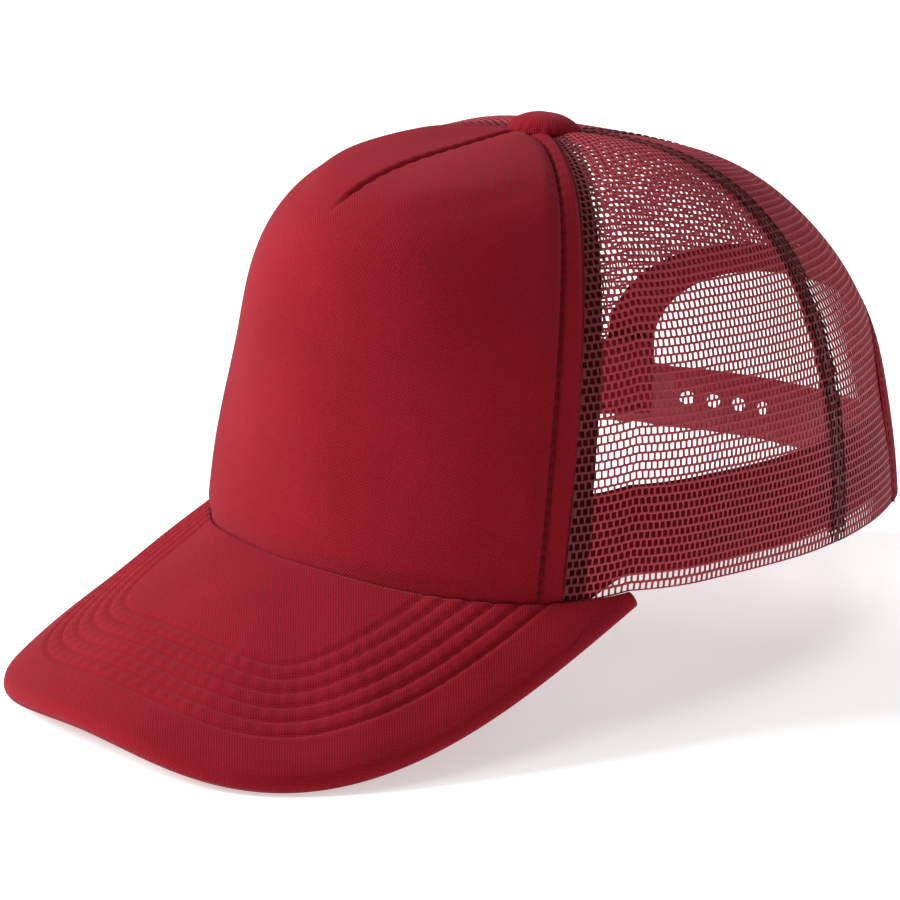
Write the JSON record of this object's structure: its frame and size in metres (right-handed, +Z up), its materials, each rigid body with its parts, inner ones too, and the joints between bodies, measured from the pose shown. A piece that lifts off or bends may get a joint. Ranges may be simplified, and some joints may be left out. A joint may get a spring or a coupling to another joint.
{
  "type": "trucker cap",
  "caption": "Foam-front trucker cap with mesh sides and back, an arched stitched brim, an inner sweatband and a snap strap across the rear opening.",
  "frame": {"origin": "middle of the head opening", "axes": "+Z up as worn, -Y to the front (the brim), +X to the wearer's left"},
  "size_m": [0.159, 0.2722, 0.1447],
  "materials": {
    "foam_knit": "burgundy knit laminated on foam",
    "mesh": "burgundy nylon mesh",
    "sweatband": "burgundy woven sweatband",
    "tape": "burgundy woven tape",
    "binding": "burgundy woven binding",
    "board": "plain board",
    "strap": "burgundy moulded plastic",
    "metal": "plain steel"
  },
  "bodies": {
    "cap": {"arch_binding": "binding", "brim_board": "board", "brim_bottom_cover": "foam_knit", "brim_top_cover": "foam_knit", "button_rivet": "metal", "button_shell": "foam_knit", "button_washer": "metal", "front_panel": "foam_knit", "front_seam_tape_left": "tape", "front_seam_tape_right": "tape", "hole_strap_tab": "strap", "peg_strap_tab": "strap", "rear_mesh_left": "mesh", "rear_mesh_right": "mesh", "rear_seam_tape": "tape", "side_mesh_left": "mesh", "side_mesh_right": "mesh", "side_seam_tape_left": "tape", "side_seam_tape_right": "tape", "sweatband": "sweatband"},
    "hole_strap": {"hole_strap": "strap"},
    "peg_strap": {"peg_strap": "strap"}
  },
  "joints": [
    {"name": "hole_strap_swing", "type": "hinge", "parent": "cap", "child": "hole_strap", "pos_m": [-0.04275, 0.08103, 0.00348], "axis": [0, 0.1426, 0.9898], "range_deg": [0, 75]},
    {"name": "peg_strap_swing", "type": "hinge", "parent": "cap", "child": "peg_strap", "pos_m": [0.04275, 0.08103, 0.00348], "axis": [0, 0.1426, 0.9898], "range_deg": [0, 35]}
  ]
}
